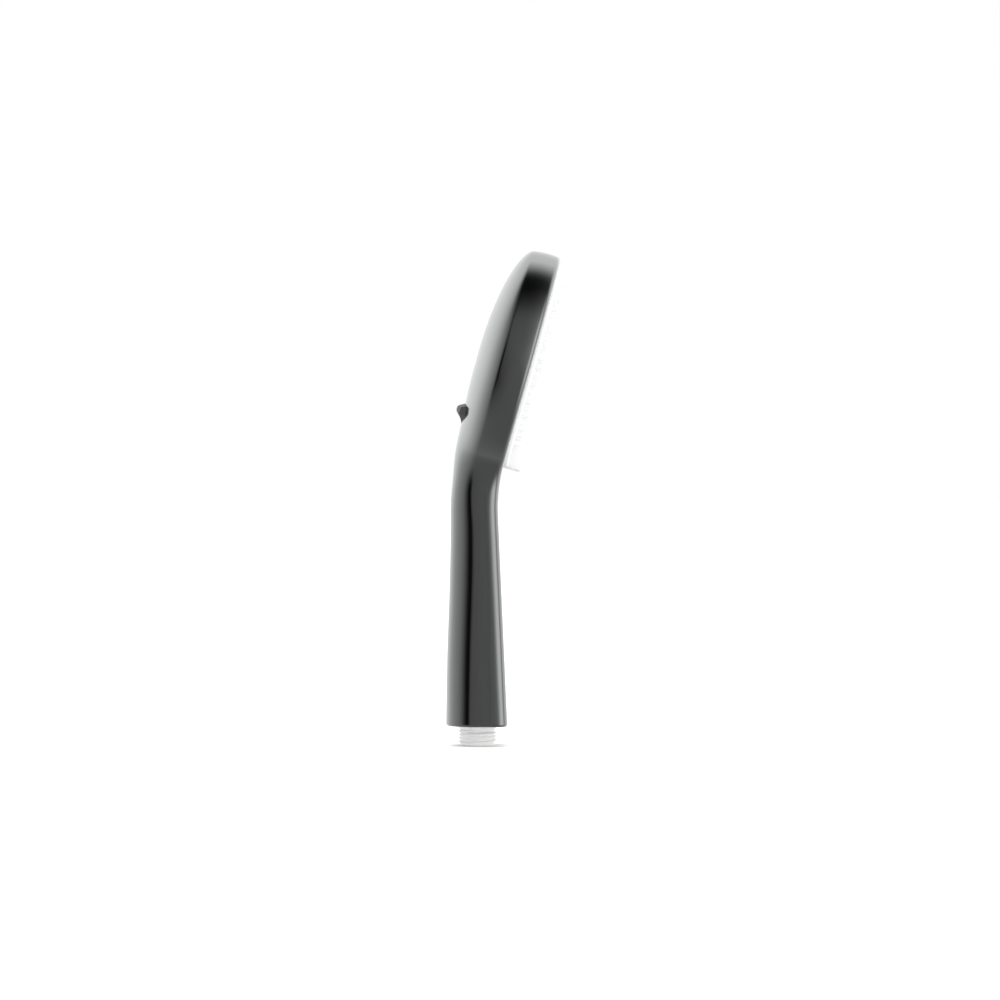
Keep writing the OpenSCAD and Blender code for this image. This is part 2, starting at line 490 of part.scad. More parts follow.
// ---- inlet ------------------------------------------------------------
thread_first = 2.46;
thread_count = 4;
crest_flat = 0.3;
flank = (thread_pitch - 2 * crest_flat) / 2;
module inlet_nipple() color(white) difference() {
    rotate_extrude($fn = 96) polygon(concat(
        [[5.6, 5], [7.6, 5], [7.6, 0], [8.8, 0], [thread_root_r, 0.5], [thread_root_r, thread_first - crest_flat / 2 - flank]],
        [for (i = [0:thread_count - 1]) each let (z = thread_first + i * thread_pitch)
            [[thread_root_r, z - crest_flat / 2 - flank], [thread_r, z - crest_flat / 2], [thread_r, z + crest_flat / 2], [thread_root_r, z + crest_flat / 2 + flank]]],
        [[thread_root_r, 9.2], [10.3, 9.6], [10.3, 15.3], [13, 15.3], [13, 17.8], [9, 17.8], [9, 21.4], [8, 21.4], [8, 23], [9, 23],
         [9, 27], [8.6, 27.4], [6.7, 27.4], [6.7, 6], [5.6, 6]]));
}
module nipple_washer() color(rubber) translate([0, 0, 14.5]) difference() {
    cylinder(r = 12.8, h = 0.8, $fn = 64);
    translate([0, 0, -1]) cylinder(r = 10.4, h = 3, $fn = 64);
}
module filter_screen() color(steel) translate([0, 0, 0.8]) difference() {
    cylinder(r = 7.5, h = 0.4, $fn = 64);
    for (k = [1:3]) for (i = [0:6 * k - 1]) rotate([0, 0, 360 * i / (6 * k)]) translate([1.95 * k, 0, -1]) cylinder(r = 0.6, h = 3, $fn = 16);
    translate([0, 0, -1]) cylinder(r = 0.6, h = 3, $fn = 16);
}
module flow_limiter() color(pale) translate([0, 0, 1.2]) difference() {
    cylinder(r = 7.5, h = 3.7, $fn = 64);
    translate([0, 0, -1]) difference() { cylinder(r = 5.6, h = 3.2, $fn = 48); cylinder(r = 3.6, h = 3.2, $fn = 48); }
    for (i = [0:7]) rotate([0, 0, 45 * i]) translate([4.6, 0, -1]) cylinder(r = 0.55, h = 6, $fn = 16);
}
module limiter_seal() color(rubber) translate([0, 0, 2.5]) torus(4.6, 0.8);

module check_valve_seal() color(rubber) translate([0, 0, 6]) difference() {
    cylinder(r = 6.6, h = 0.8, $fn = 48);
    translate([0, 0, -1]) cylinder(r = 5, h = 3, $fn = 48);
}
module check_valve_body() color(pale) rotate_extrude($fn = 64)
    polygon([[3.6, 6.8], [6.6, 6.8], [6.6, 21], [5.9, 21], [5.9, 19.4], [5.4, 19.4], [5.4, 9.4], [4.8, 8.6], [3.6, 8.6]]);
module check_valve_guide() color(pale) translate([0, 0, 19.4]) difference() {
    union() {
        difference() { cylinder(r = 5.9, h = 1.6, $fn = 48); translate([0, 0, -1]) cylinder(r = 4.6, h = 4, $fn = 48); }
        cylinder(r = 2, h = 1.6, $fn = 32);
        for (i = [0:2]) rotate([0, 0, 120 * i]) translate([1.5, -0.6, 0]) cube([3.6, 1.2, 1.6]);
    }
    translate([0, 0, -1]) cylinder(r = 1.05, h = 4, $fn = 32);
}
module check_poppet() color(pale) rotate_extrude($fn = 48)
    polygon([[0, 7.4], [1.6, 7.4], [2.2, 8], [2.2, 8.5], [1.3, 8.5], [1.3, 9.3], [4.6, 9.3], [4.6, 10], [3.6, 10.4], [1, 10.4], [1, 20.8], [0.8, 21], [0, 21]]);
module poppet_seal() color(rubber) translate([0, 0, 8.65]) difference() {
    cylinder(r = 4.4, h = 0.65, $fn = 48);
    translate([0, 0, -1]) cylinder(r = 1.3, h = 3, $fn = 32);
}
module check_spring() color(steel) translate([0, 0, 10.45]) coil(2.9, 0.3, 8.9, 5);

body_shell();
spray_plate();
nozzle_mat();
distributor();
port_seals();
selector_rotor();
rotor_axle();
plunger();
plunger_spring();
plunger_seal();
seal_retainer();
diverter_housing();
housing_gasket();
housing_screws();
face_screws();
selector_tab();
tab_hinge_pin();
tab_spring();
water_guide();
guide_upper_seal();
guide_lower_seal();
inlet_nipple();
nipple_washer();
filter_screen();
flow_limiter();
limiter_seal();
check_valve_body();
check_valve_guide();
check_valve_seal();
check_poppet();
poppet_seal();
check_spring();
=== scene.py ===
import json
import math

import bmesh
import bpy
import numpy as np
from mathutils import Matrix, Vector
from mathutils.bvhtree import BVHTree


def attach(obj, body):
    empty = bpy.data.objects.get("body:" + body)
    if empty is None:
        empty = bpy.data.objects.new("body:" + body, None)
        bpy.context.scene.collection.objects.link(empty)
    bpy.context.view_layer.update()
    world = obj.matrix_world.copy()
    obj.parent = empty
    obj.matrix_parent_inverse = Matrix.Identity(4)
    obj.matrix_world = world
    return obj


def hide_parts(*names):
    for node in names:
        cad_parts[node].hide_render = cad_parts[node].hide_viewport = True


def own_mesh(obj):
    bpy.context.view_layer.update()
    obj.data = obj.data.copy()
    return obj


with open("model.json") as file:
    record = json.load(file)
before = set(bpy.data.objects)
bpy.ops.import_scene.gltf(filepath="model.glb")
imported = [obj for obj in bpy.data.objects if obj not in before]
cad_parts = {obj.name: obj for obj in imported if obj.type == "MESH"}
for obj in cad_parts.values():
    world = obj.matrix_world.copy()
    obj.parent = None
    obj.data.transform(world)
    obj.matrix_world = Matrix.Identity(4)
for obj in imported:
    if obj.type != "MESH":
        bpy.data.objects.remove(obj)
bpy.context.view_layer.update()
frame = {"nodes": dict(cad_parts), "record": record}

NODES = frame["nodes"]
MM = 0.001

# ---------------------------------------------------------------- dimensions
BASE_Z = 10.7
W_BASE, W_NECK = 19.0, 17.5
FRONT_BASE, FRONT_SLOPE = 16.2, 0.044
CORNER_R = 5.5
HEAD_R, TILT, HEAD_Y, HEAD_Z = 60.75, math.radians(15.6), 29.0, 205.0
RIM_DEPTH, RIM_R, SHOULDER_R, WALL, RECESS_R = 15.0, 2.6, 22.0, 2.5, 57.2
PLATE_PROUD, NOZZLE_TIP, LUG_W, LUG_H = 2.2, 5.8, 20.0, 10.0
TAB_W, HINGE_U, HINGE_Z, TAB_R, TAB_LOW_R, TAB_LOW_C = 18.5, -42.5, -23.3, 14.4, 37.4, -2.9
THREAD_R, ROOT_R, PITCH = 10.4775, 9.3155, 1.8143
CT, ST, TT = math.cos(TILT), math.sin(TILT), math.tan(TILT)
U_BASE = (BASE_Z - HEAD_Z) / CT


def head(p):
    """Head frame (x, up the face, out of the face) to row frame, millimetres."""
    x, u, z = p
    return (x, -HEAD_Y - u * ST - z * CT, HEAD_Z + u * CT - z * ST)


def row(p):
    return p


def clamp01(t):
    return max(0.0, min(1.0, t))


def smooth(t):
    t = clamp01(t)
    return t * t * (3 - 2 * t)


# ---------------------------------------------------------------- mesh tools
def obj_from(name, verts, faces, place=row):
    me = bpy.data.meshes.new(name)
    me.from_pydata([Vector(place(v)) * MM for v in verts], [], faces)
    me.update()
    ob = bpy.data.objects.new(name, me)
    bpy.context.scene.collection.objects.link(ob)
    return ob


def outward(ob):
    """Faces turned outward and checked, so that booleans and exports agree."""
    bm = bmesh.new()
    bm.from_mesh(ob.data)
    bmesh.ops.remove_doubles(bm, verts=bm.verts, dist=1e-7)
    bmesh.ops.recalc_face_normals(bm, faces=bm.faces)
    if bm.calc_volume(signed=True) < 0:
        bmesh.ops.reverse_faces(bm, faces=bm.faces)
    bm.to_mesh(ob.data)
    bm.free()
    return ob


def lathe(name, profile, segs, place=row, centre=(0.0, 0.0), radius=None):
    """A closed profile of (r, z) turned about Z. radius(r, z, angle) may change it."""
    verts, rings = [], []
    for r, z in profile:
        if r < 1e-6:
            rings.append([len(verts)])
            verts.append((centre[0], centre[1], z))
            continue
        ring = []
        for k in range(segs):
            a = 2 * math.pi * k / segs
            rr = radius(r, z, a) if radius else r
            ring.append(len(verts))
            verts.append((centre[0] + rr * math.cos(a), centre[1] + rr * math.sin(a), z))
        rings.append(ring)
    faces = []
    n = len(rings)
    for i in range(n):
        a, b = rings[i], rings[(i + 1) % n]
        if len(a) == 1 and len(b) == 1:
            continue
        for k in range(segs):
            k2 = (k + 1) % segs
            if len(a) == 1:
                faces.append((a[0], b[k2], b[k]))
            elif len(b) == 1:
                faces.append((a[k], a[k2], b[0]))
            else:
                faces.append((a[k], a[k2], b[k2], b[k]))
    return outward(obj_from(name, verts, faces, place))


def prism(name, profile, x0, x1, place=row):
    """A profile in (u, z) drawn out along x."""
    n = len(profile)
    verts = [(x0, u, z) for u, z in profile] + [(x1, u, z) for u, z in profile]
    faces = [tuple(range(n)), tuple(range(2 * n - 1, n - 1, -1))]
    faces += [(i, (i + 1) % n, n + (i + 1) % n, n + i) for i in range(n)]
    return outward(obj_from(name, verts, faces, place))


def apply_mods(ob):
    dg = bpy.context.evaluated_depsgraph_get()
    me = bpy.data.meshes.new_from_object(ob.evaluated_get(dg))
    old = ob.data
    ob.modifiers.clear()
    ob.data = me
    bpy.data.meshes.remove(old)
    return ob


def boolean(ob, tool, op, keep=False):
    m = ob.modifiers.new("b", "BOOLEAN")
    m.operation, m.object, m.solver = op, tool, "MANIFOLD"
    apply_mods(ob)
    if not keep:
        bpy.data.objects.remove(tool)
    return ob


def join(name, obs):
    """One object from several meshes that don't touch."""
    verts, faces = [], []
    for o in obs:
        base = len(verts)
        verts += [tuple(v.co) for v in o.data.vertices]
        faces += [tuple(base + i for i in p.vertices) for p in o.data.polygons]
        bpy.data.objects.remove(o)
    me = bpy.data.meshes.new(name)
    me.from_pydata(verts, [], faces)
    me.update()
    ob = bpy.data.objects.new(name, me)
    bpy.context.scene.collection.objects.link(ob)
    return ob


def shade(ob, angle=35):
    bm = bmesh.new()
    bm.from_mesh(ob.data)
    bmesh.ops.dissolve_degenerate(bm, dist=6e-7, edges=bm.edges)
    bmesh.ops.remove_doubles(bm, verts=bm.verts, dist=1.5e-7)
    bm.to_mesh(ob.data)
    bm.free()
    me = ob.data
    me.polygons.foreach_set("use_smooth", [True] * len(me.polygons))
    me.set_sharp_from_angle(angle=math.radians(angle))
    me.update()
    return ob


def bevel(ob, width, segments=4, angle=30):
    m = ob.modifiers.new("v", "BEVEL")
    m.width, m.segments, m.limit_method = width * MM, segments, "ANGLE"
    m.angle_limit = math.radians(angle)
    m.use_clamp_overlap = True
    return apply_mods(ob)


# ---------------------------------------------------------------- body form
def z_of(u):
    return HEAD_Z + u * CT


def line_handle(z):
    return -FRONT_BASE + FRONT_SLOPE * (z - BASE_Z)


def line_head(z):
    return -HEAD_Y - (z - HEAD_Z) * TT


BEND_HALF = 14.0
BEND_Z = (line_handle(0) + HEAD_Y - HEAD_Z * TT) / (-TT - FRONT_SLOPE)


def front_y(z):
    if z < BEND_Z - BEND_HALF:
        return line_handle(z)
    if z > BEND_Z + BEND_HALF:
        return line_head(z)
    t = (z - BEND_Z + BEND_HALF) / (2 * BEND_HALF)
    return line_handle(z) - (FRONT_SLOPE + TT) * BEND_HALF * t * t


def lean(z):
    return TILT * smooth((z - BEND_Z + 22) / 44)


TH_U = [-205, -165, -120, -85, -70, -50, -15, 20, 80]
TH_T = [33.4, 31.1, 27.8, 25.8, 25.4, 27.6, 29.4, 29.4, 29.4]


def _slope(i):
    if i == 0:
        return (TH_T[1] - TH_T[0]) / (TH_U[1] - TH_U[0])
    if i >= len(TH_U) - 1:
        return 0.0
    a = (TH_T[i] - TH_T[i - 1]) / (TH_U[i] - TH_U[i - 1])
    b = (TH_T[i + 1] - TH_T[i]) / (TH_U[i + 1] - TH_U[i])
    return 0.0 if a * b <= 0 else 2 * a * b / (a + b)


def thick(u):
    i = 0
    while i < len(TH_U) - 2 and u >= TH_U[i + 1]:
        i += 1
    w = TH_U[i + 1] - TH_U[i]
    t = clamp01((u - TH_U[i]) / w)
    m0, m1 = _slope(i) * w, _slope(i + 1) * w
    return ((2 * t**3 - 3 * t * t + 1) * TH_T[i] + (t**3 - 2 * t * t + t) * m0
            + (3 * t * t - 2 * t**3) * TH_T[i + 1] + (t**3 - t * t) * m1)


HEAD_CROWN, HANDLE_CROWN = 0.17, 0.09
RIM_U = [-205, -176, -154, -131, -109, -86, -64, -50, 80]
RIM_D = [20.0, 18.3, 16.9, 15.1, 13.6, 12.9, 14.6, 15.0, 15.0]


def rim(u):
    """Depth of the side wall."""
    return float(np.interp(u, RIM_FINE, RIM_SOFT))


_fine = np.linspace(-215, 90, 611)
_raw = np.interp(_fine, RIM_U, RIM_D)
_k = np.exp(-0.5 * (np.arange(-40, 41) * 0.5 / 7.0) ** 2)
RIM_FINE, RIM_SOFT = _fine, np.convolve(np.pad(_raw, 40, mode="edge"), _k / _k.sum(), mode="valid")


def body_form(name, g, f, n_top, n_low, n_sh, n_front, n_edge, n_wall, n_back, stations):
    """The body as a closed surface: columns of rays round the outline, from the front spine to the back spine."""
    R, S, w_neck, w_base = g
    shx = w_neck + S
    shu = -math.sqrt((R + S) ** 2 - shx**2)
    sha = math.atan2(shu, shx)
    total = (R + S) * -sha

    def spine(l):
        return shu * clamp01(l / total) ** (total / -shu)

    def half_w(u):
        return w_neck + (w_base - w_neck) * clamp01((shu - u) / (shu - U_BASE)) ** 1.5

    out = []
    for i in range(n_top + 1):
        a = math.pi / 2 * (1 - i / n_top)
        out.append((0.0 if i == 0 else R * math.cos(a), R * math.sin(a), 0.0))
    for i in range(1, n_low + 1):
        a = sha * i / n_low
        out.append((R * math.cos(a), R * math.sin(a), spine(R * -a)))
    for i in range(1, n_sh + 1):
        b = -sha * (1 - i / n_sh)
        out.append((shx - S * math.cos(b), shu + S * math.sin(b), spine(R * -sha + S * (-sha - b))))
    for u in stations:
        out.append((half_w(u), u, u))

    def ray(length, u):
        """(offset from the spine, depth): flat front, rounded edge, slightly crowned wall, rounded back."""
        R, T = f[2] if f[6] == 0 else rim(u), thick(u) - f[1]
        h = T - R
        r = min(f[3] + (f[4] - f[3]) * smooth(-u / 90), length * 0.8)
        send = f[6] * (HEAD_CROWN + (HANDLE_CROWN - HEAD_CROWN) * smooth((-u - 30) / 60))
        d0 = 0.49 * R
        c = send / (2 * (R - d0))
        turn = math.pi / 2 - math.atan(max(0.0, 2 * c * (d0 - r)))
        wall_x = lambda d: length - c * (d - d0) ** 2
        d_a = r * (1 - math.cos(turn))
        xc = wall_x(d_a) - r * math.sin(turn)
        pts = [(xc * i / n_front, f[0]) for i in range(n_front)]
        for i in range(n_edge + 1):
            a = turn * i / n_edge
            pts.append((xc + r * math.sin(a), f[0] + r * (1 - math.cos(a))))
        start = f[0] + d_a
        for i in range(1, n_wall):
            d = start + (R - start) * i / n_wall
            pts.append((wall_x(d), d))
        n, end = 1.1, wall_x(R)
        n = n + 0.1 * smooth((-u - 50) / 40)
        b0 = (send * h * n / end) ** (1 / (2 - n)) if send > 0 else 0.0
        low = math.sin(b0) ** n
        for i in range(n_back + 1):
            b = b0 + (math.pi / 2 - b0) * (i / n_back) ** 1.15
            pts.append((0.0 if i == n_back else end * math.cos(b) / math.cos(b0), R + h * (math.sin(b) ** n - low) / (1 - low)))
        return [(x / length, d) for x, d in pts]

    def draw_in(u):
        e, h = f[5], (u - U_BASE) * CT
        return e - math.sqrt(max(0.0, e * e - (e - h) ** 2)) if e > 0 and h < e else 0.0

    def column(s, side):
        px, pu, su = s
        k = draw_in(pu)
        res = []
        for q, d in ray(math.hypot(px, pu - su), (pu + su) / 2):
            x, u = px * q, su + (pu - su) * q
            if k > 0:
                d = k + d * (1 - 2 * k / thick(pu))
            z = z_of(u)
            a = lean(z)
            res.append((side * x * (1 - k / max(px, 1)), front_y(z) + d * math.cos(a), z + d * math.sin(a)))
        return res

    n = len(out)
    cols = [column(out[i], -1) for i in range(n - 1, 0, -1)] + [column(out[i], 1) for i in range(n)]
    verts, faces, index = [], [], {}

    def vid(p):
        key = (round(p[0], 6), round(p[1], 6), round(p[2], 6))
        if key not in index:
            index[key] = len(verts)
            verts.append(p)
        return index[key]

    ids = [[vid(p) for p in c] for c in cols]
    m = len(ids[0])
    for c in range(len(ids) - 1):
        for j in range(m - 1):
            q = (ids[c][j], ids[c + 1][j], ids[c + 1][j + 1], ids[c][j + 1])
            q = tuple(dict.fromkeys(q))
            if len(q) >= 3:
                faces.append(q)
    loop = ids[-1] + ids[0][-2:0:-1]
    mid = len(verts)
    a, b = Vector(cols[0][0]), Vector(cols[0][-1])
    verts.append(tuple((a + b) / 2))
    for i in range(len(loop)):
        faces.append((loop[i], loop[(i + 1) % len(loop)], mid))
    return outward(obj_from(name, verts, faces))


def stations(first, last, step, tail):
    n = max(2, int(abs(last - first) / step))
    return [first + (last - first) * i / n for i in range(n + 1)] + tail


OUT_G = (HEAD_R, SHOULDER_R, W_NECK, W_BASE)
IN_G = (RECESS_R - 0.7, SHOULDER_R + WALL, W_NECK - WALL, W_BASE - WALL)
end_round = [U_BASE + 1.6 * (1 - math.sin(math.radians(a))) / CT for a in (10, 20, 30, 40, 50, 60, 70, 80, 90)]
outer = body_form("outer", OUT_G, (0, 0, RIM_DEPTH, RIM_R, CORNER_R, 1.6, 1), 72, 54, 34, 4, 12, 10, 46,
                  stations(-75.5, U_BASE + 1.75, 2.2, end_round))
inner = body_form("inner", IN_G, (WALL, WALL, RIM_DEPTH, 2.5, 3.0, 0, 0), 24, 16, 12, 3, 4, 2, 14,
                  stations(-80, U_BASE + 3.8 / CT, 10, []))


# ---------------------------------------------------------------- the tab's outline
def tab_outline(name, g, steps=24):
    """The space under the tab's outline, grown by g: a drum round the hinge, cut by a circle below it."""
    w = TAB_W + g
    prof = [(0.0, -w)]
    for i in range(-steps, steps + 1):
        x = i / steps * w
        prof.append((TAB_R + g - x * x / 190, x))
    prof.append((0.0, w))
    drum = lathe(name, prof, 192, lambda p: head((p[2], HINGE_U + p[0], HINGE_Z + p[1])))
    low = lathe(name + "_low", [(0, -36), (TAB_LOW_R + g, -36), (TAB_LOW_R + g, -20), (0, -20)], 256, head, (0, TAB_LOW_C))
    block = prism(name + "_block", [(-50, -36), (-20, -36), (-20, -23.5), (-50, -23.5)], -25, 25, head)
    boolean(drum, low, "INTERSECT")
    boolean(drum, block, "INTERSECT")
    return drum


# ---------------------------------------------------------------- shell
shell = outer.copy()
shell.data = outer.data.copy()
shell.name = "body_shell_skin"
bpy.context.scene.collection.objects.link(shell)
boolean(shell, inner, "DIFFERENCE")
for angle in (45, 135, 225, 315):
    prof = [(47.6, -7.3), (55.4, -7.3), (55.4, -18.7), (47.6, -21.7)]
    vs, fs = [], []
    for i in range(7):
        a = math.radians(angle - 4.2 + 8.4 * i / 6)
        vs += [(r * math.cos(a), r * math.sin(a), z) for r, z in prof]
    for i in range(6):
        fs += [(4 * i + k, 4 * i + (k + 1) % 4, 4 * i + 4 + (k + 1) % 4, 4 * i + 4 + k) for k in range(4)]
    fs += [(0, 1, 2, 3), (27, 26, 25, 24)]
    boolean(shell, outward(obj_from("boss", vs, fs, head)), "UNION")
# The recess, with a fine chamfer where it meets the rim
boolean(shell, lathe("cut", [(0, -7.2), (RECESS_R, -7.2), (RECESS_R, -0.28), (RECESS_R + 0.28, 0), (RECESS_R + 0.9, 0.62), (RECESS_R + 0.9, 5), (0, 5)], 256, head), "DIFFERENCE")
for angle in (45, 135, 225, 315):
    c = (51.6 * math.cos(math.radians(angle)), 51.6 * math.sin(math.radians(angle)))
    boolean(shell, lathe("cut", [(0, -16), (1.45, -16), (1.45, -6), (0, -6)], 32, head, c), "DIFFERENCE")
boolean(shell, tab_outline("cut", 0.45), "DIFFERENCE")
boolean(shell, lathe("cut", [(0, -12.8), (2.25, -12.8), (2.25, 12.8), (0, 12.8)], 48, lambda p: head((p[2], HINGE_U + p[0], HINGE_Z + p[1]))), "DIFFERENCE")
boolean(shell, lathe("cut", [(0, BASE_Z - 1), (11.1, BASE_Z - 1), (11.1, BASE_Z), (10.7, BASE_Z + 0.4), (10.7, BASE_Z + 6), (0, BASE_Z + 6)], 192), "DIFFERENCE")


def borrow_normals(ob, source, angle=40):
    """Sharp edges by angle, and the source's smooth normals wherever ob lies on it."""
    shade(ob, angle)
    src = source.data
    src.polygons.foreach_set("use_smooth", [True] * len(src.polygons))
    vn = [v.normal.copy() for v in src.vertices]
    vc = [v.co for v in src.vertices]
    tree = BVHTree.FromPolygons([tuple(c) for c in vc], [tuple(p.vertices) for p in src.polygons])
    me = ob.data
    normals = [Vector(n.vector) for n in me.corner_normals]
    cache = {}
    for p in me.polygons:
        c = p.center
        hit = tree.find_nearest(c)
        if hit[0] is None or (hit[0] - c).length > 4e-5 or abs(hit[1].dot(p.normal)) < 0.96:
            continue
        for li in p.loop_indices:
            vi = me.loops[li].vertex_index
            if vi not in cache:
                co = me.vertices[vi].co
                h = tree.find_nearest(co)
                poly = src.polygons[h[2]]
                w, s = Vector((0, 0, 0)), 0.0
                for k in poly.vertices:
                    d = 1.0 / ((vc[k] - co).length ** 2 + 1e-12)
                    w += vn[k] * d
                    s += d
                cache[vi] = (w / s).normalized()
            if cache[vi].dot(p.normal) > 0.7:
                normals[li] = cache[vi]
    me.normals_split_custom_set([tuple(n) for n in normals])
    me.update()


borrow_normals(shell, outer)
bpy.data.objects.remove(outer)

# ---------------------------------------------------------------- spray face
RING_R = [9, 17, 24.5, 32, 39.5, 46.5]
RING_N = [6, 12, 16, 20, 24, 30]
RING_A = [0, 15, 0, 0, 0, 0]
nozzles = []
for rr, nn, aa in zip(RING_R, RING_N, RING_A):
    for i in range(nn):
        a = math.radians(aa + 90 + 360 * i / nn)
        x, y = rr * math.cos(a), rr * math.sin(a)
        if not (abs(x) < LUG_W / 2 + 2.3 and y < -40.5):
            nozzles.append((x, y))

PLATE_R = RECESS_R - 0.3
edge = [(PLATE_R - 1 + math.cos(math.radians(a)), PLATE_PROUD - 1 + math.sin(math.radians(a))) for a in range(0, 91, 9)]
plate = lathe("spray_plate_skin", [(0, -0.2), (PLATE_R - 1.9, -0.2), (PLATE_R - 1.9, -6.2), (PLATE_R, -6.2)] + edge + [(0, PLATE_PROUD)], 256, head)
lug = prism("lug", [(-62, 1), (-43.3, 1), (-43.3, PLATE_PROUD), (-47.2, LUG_H - 0.1), (-48, LUG_H + 0.4),
                    (-55.9, LUG_H - 0.5), (-57.5, LUG_H - 1.2), (-62, LUG_H - 1.3)], -LUG_W / 2, LUG_W / 2, head)
boolean(lug, lathe("cut", [(0, -5), (PLATE_R, -5), (PLATE_R, 20), (0, 20)], 256, head), "INTERSECT")
bevel(lug, 0.7, 4, 25)
boolean(plate, lug, "UNION")
holes = [lathe("h", [(0, -1), (1.95, -1), (1.95, PLATE_PROUD - 0.2), (2.15, PLATE_PROUD), (2.4, PLATE_PROUD + 0.25), (0, PLATE_PROUD + 0.25)], 32, head, p) for p in nozzles]
boolean(plate, join("holes", holes), "DIFFERENCE")
shade(plate, 30)

tip = NOZZLE_TIP
noz = []
for p in nozzles:
    prof = [(0.5, -0.9), (1.75, -0.9), (1.75, 1.9), (1.72, 2.05), (1.62, 2.3), (1.42, 2.75), (1.3, 3.3), (1.14, 4.6), (1.02, tip - 0.5),
            (1.0, tip - 0.25), (0.93, tip - 0.08), (0.8, tip), (0.66, tip - 0.02), (0.58, tip - 0.12), (0.52, tip - 0.35), (0.5, tip - 0.7)]
    noz.append(lathe("n", prof, 28, head, p))
mat_disc = lathe("mat_disc", [(0, -1.7), (48.7, -1.7), (48.7, -0.2), (0, -0.2)], 128, head)
cuts = [lathe("h", [(0, -3), (0.5, -3), (0.5, 1), (0, 1)], 28, head, p) for p in nozzles]
studs = join("nozzle_mat_skin", noz)
boolean(mat_disc, join("cuts", cuts), "DIFFERENCE")
boolean(mat_disc, studs, "UNION")
mat_disc.name = "nozzle_mat_skin"
studs = mat_disc
shade(studs, 40)

# ---------------------------------------------------------------- thumb tab
TAB_PROFILE = [(-27, -24.95), (-27, -32), (-31, -32), (-31.6, -32.4), (-32.6, -32.6), (-33.6, -32.5), (-34.4, -32.15),
               (-35.1, -31.55), (-35.9, -30.7), (-36.8, -29.85), (-37.9, -29), (-39, -28.4), (-41, -27.8), (-41, -26), (-33.2, -26), (-33.2, -24.95)]
tab = tab_outline("selector_tab_skin", 0, 32)
boolean(tab, prism("t", TAB_PROFILE, -30, 30, head), "INTERSECT")
crest = lathe("crest", [(0, -60), (78, -60), (78, 0), (0, 0)], 720, lambda p: head((p[0], p[2], 45.4 + p[1])))
boolean(tab, crest, "INTERSECT")
keepers = prism("k", [(-50, -40), (-20, -40), (-20, -26), (-50, -26)], -30, 30, head)
boolean(keepers, prism("k2", [(-50, -30), (-20, -30), (-20, -20), (-50, -20)], -3.5, 3.5, head), "UNION")
boolean(tab, keepers, "INTERSECT")
remesh = tab.modifiers.new("r", "REMESH")
remesh.mode, remesh.voxel_size, remesh.adaptivity = "VOXEL", 0.22 * MM, 0.0
soft = tab.modifiers.new("s", "SMOOTH")
soft.factor, soft.iterations = 0.5, 14
apply_mods(tab)
ears = []
for x in (-9, 6):
    ear = prism("ear", [(-42.5, -25), (-39.2, -25), (-39, -26.8), (-35, -26.8), (-35, -25), (-42.5, -21.6)], x, x + 3, head)
    boss = lathe("b", [(0, x), (1.8, x), (1.8, x + 3), (0, x + 3)], 48, lambda p: head((p[2], HINGE_U + p[0], HINGE_Z + p[1])))
    boolean(ear, boss, "UNION")
    ears.append(ear)
for ear in ears:
    boolean(tab, ear, "UNION")
boolean(tab, lathe("cut", [(0, -13), (1.05, -13), (1.05, 13), (0, 13)], 48, lambda p: head((p[2], HINGE_U + p[0], HINGE_Z + p[1]))), "DIFFERENCE")
shade(tab, 50)

# ---------------------------------------------------------------- check valve's spring
def coil(name, r, w, z0, h, turns, sides=10, steps=28):
    """A round wire wound into a spring, w its half thickness, standing on z0."""
    n = turns * steps
    vs, fs = [], []
    for i in range(n + 1):
        a, z = 2 * math.pi * i / steps, z0 + w + (h - 2 * w) * i / n
        for k in range(sides):
            b = 2 * math.pi * k / sides
            q = r + w * math.cos(b)
            vs.append((q * math.cos(a) * MM, q * math.sin(a) * MM, (z + w * math.sin(b)) * MM))
    for i in range(n):
        fs += [(i * sides + k, (i + 1) * sides + k, (i + 1) * sides + (k + 1) % sides, i * sides + (k + 1) % sides) for k in range(sides)]
    fs += [tuple(range(sides)), tuple(n * sides + k for k in range(sides - 1, -1, -1))]
    me = bpy.data.meshes.new(name)
    me.from_pydata(vs, [], fs)
    me.validate()
    ob = bpy.data.objects.new(name, me)
    bpy.context.scene.collection.objects.link(ob)
    return outward(ob)


check_coil = coil("check_spring_skin", 2.9, 0.3, 10.45, 8.9, 5)
shade(check_coil, 50)

# ---------------------------------------------------------------- inlet with its thread
S_END = 3.42
Z_START, TH0 = 2.0, math.radians(-9.2)


def thread_radius(r, z, a):
    """Whitworth form on the helix: rounded crests and roots, faded in and out at the thread's two ends."""
    if not 0.9 < z < 9.15 or r < 9.3 or r > 9.4:
        return r
    best = 0.0
    turn = ((a - TH0) / (2 * math.pi)) % 1.0
    for k in range(-1, 5):
        s = turn + k
        if s < -0.06 or s > S_END + 0.1:
            continue
        fade = smooth((s + 0.06) / 0.1) * smooth((S_END + 0.1 - s) / 0.16)
        d = abs(z - (Z_START + PITCH * s)) / PITCH
        if d < 0.5:
            tri = 1 - 2 * d
            h = clamp01(tri * 1.5 - 0.25)
            best = max(best, fade * (h * h * (3 - 2 * h) * 0.35 + h * 0.65))
    return ROOT_R + (THREAD_R - ROOT_R) * best


